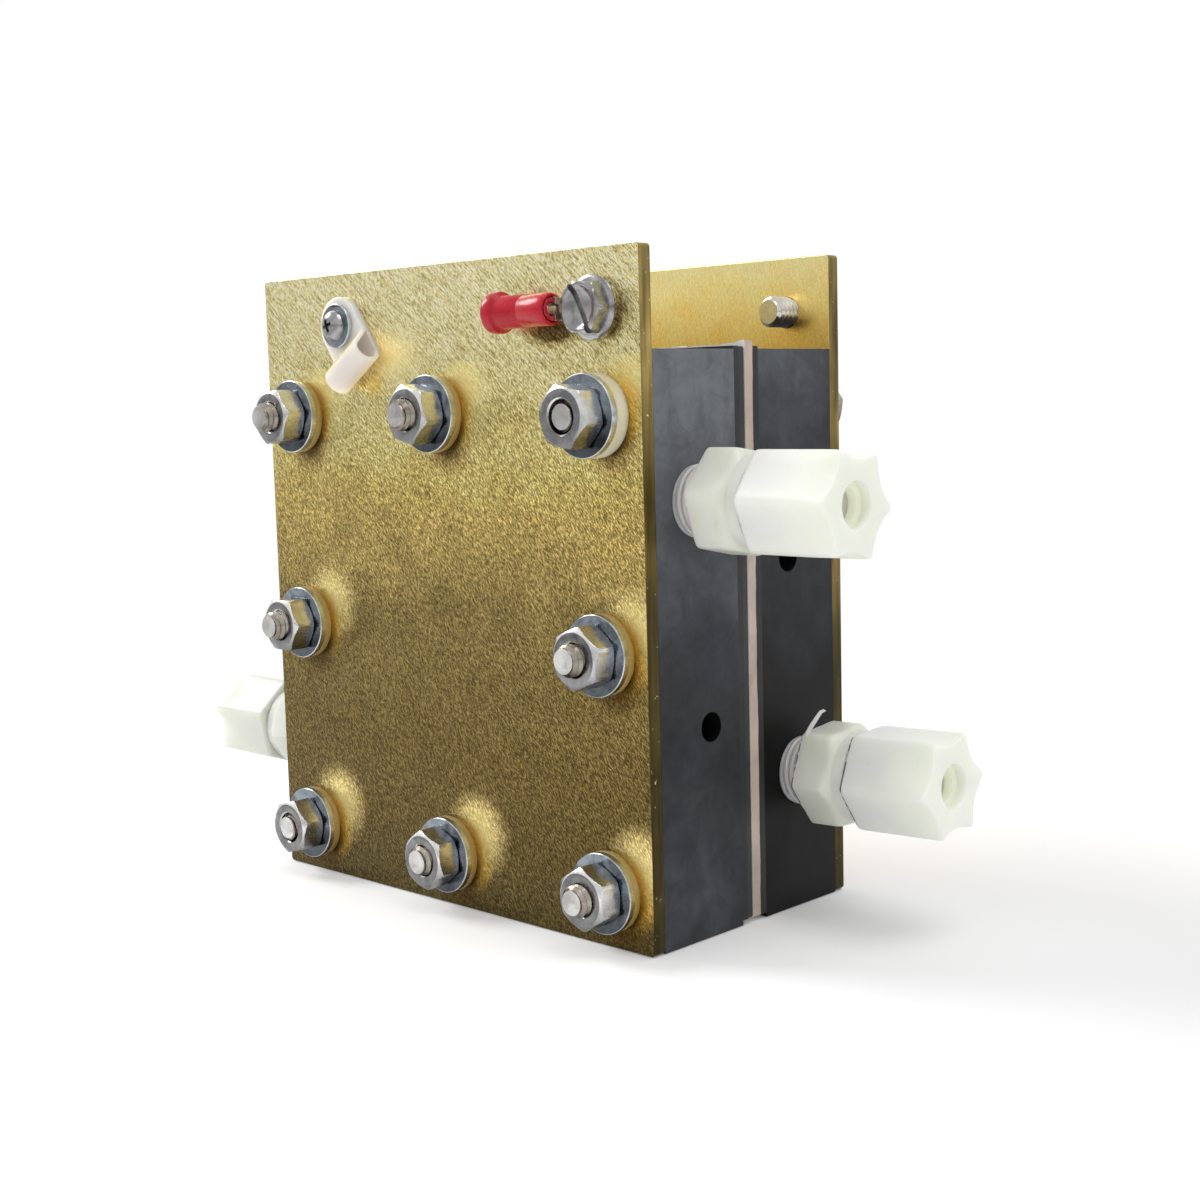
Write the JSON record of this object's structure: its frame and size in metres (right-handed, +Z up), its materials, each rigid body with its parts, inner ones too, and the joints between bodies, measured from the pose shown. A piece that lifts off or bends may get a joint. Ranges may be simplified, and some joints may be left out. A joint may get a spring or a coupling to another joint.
{
  "type": "single-cell test fixture",
  "caption": "Bolted stack that holds one flat electrochemical cell: gold-plated collector plates over graphite flow blocks, with tube fittings, sheets between the blocks and a lead terminal.",
  "frame": {"origin": "on the surface that the fixture stands on, under the middle of its bounding box", "axes": "+X across the plates, out of the side with the front upper fitting; +Y from the front plate, which carries the nuts, to the back plate; +Z up"},
  "size_m": [0.1886, 0.0806, 0.1333],
  "materials": {
    "gold_plating": "worn gold plate, fine scratches",
    "graphite": "machined graphite, soft sheen",
    "black_rubber": "matte",
    "black_frame": "matte",
    "membrane_film": "clear film",
    "white_sheet": "soft matte",
    "carbon_felt": "matte",
    "steel": "bright, lightly worn",
    "white_nylon": "soft sheen",
    "tinned_copper": "bright tin",
    "red_vinyl": "glossy",
    "clear_nylon": "milky, translucent",
    "thread_tape": "waxy",
    "milky_plastic": "milky, soft sheen"
  },
  "bodies": {
    "root": {"front_collector_plate": "gold_plating", "back_collector_plate": "gold_plating", "front_flow_block": "graphite", "back_flow_block": "graphite", "front_gasket": "black_rubber", "electrode_frame": "black_frame", "membrane": "membrane_film", "ptfe_gasket": "white_sheet", "back_gasket": "black_rubber", "front_felt": "carbon_felt", "back_felt": "carbon_felt", "tie_bolts": "steel", "tie_nuts": "steel", "front_washers": "steel", "back_washers": "steel", "front_bushes": "white_nylon", "back_bushes": "white_nylon", "front_terminal_screw": "steel", "back_terminal_screw": "steel", "ring_terminal": "tinned_copper", "terminal_sleeve": "red_vinyl", "cable_clip": "clear_nylon", "clip_screw": "steel", "clip_washer": "steel", "front_upper_body": "milky_plastic", "front_upper_nut": "milky_plastic", "front_upper_ferrule": "milky_plastic", "front_upper_grip": "milky_plastic", "front_lower_body": "milky_plastic", "front_lower_nut": "milky_plastic", "front_lower_ferrule": "milky_plastic", "front_lower_grip": "milky_plastic", "back_upper_body": "milky_plastic", "back_upper_nut": "milky_plastic", "back_upper_ferrule": "milky_plastic", "back_upper_grip": "milky_plastic", "back_lower_body": "milky_plastic", "back_lower_nut": "milky_plastic", "back_lower_ferrule": "milky_plastic", "back_lower_grip": "milky_plastic", "thread_tape": "thread_tape"}
  },
  "joints": []
}
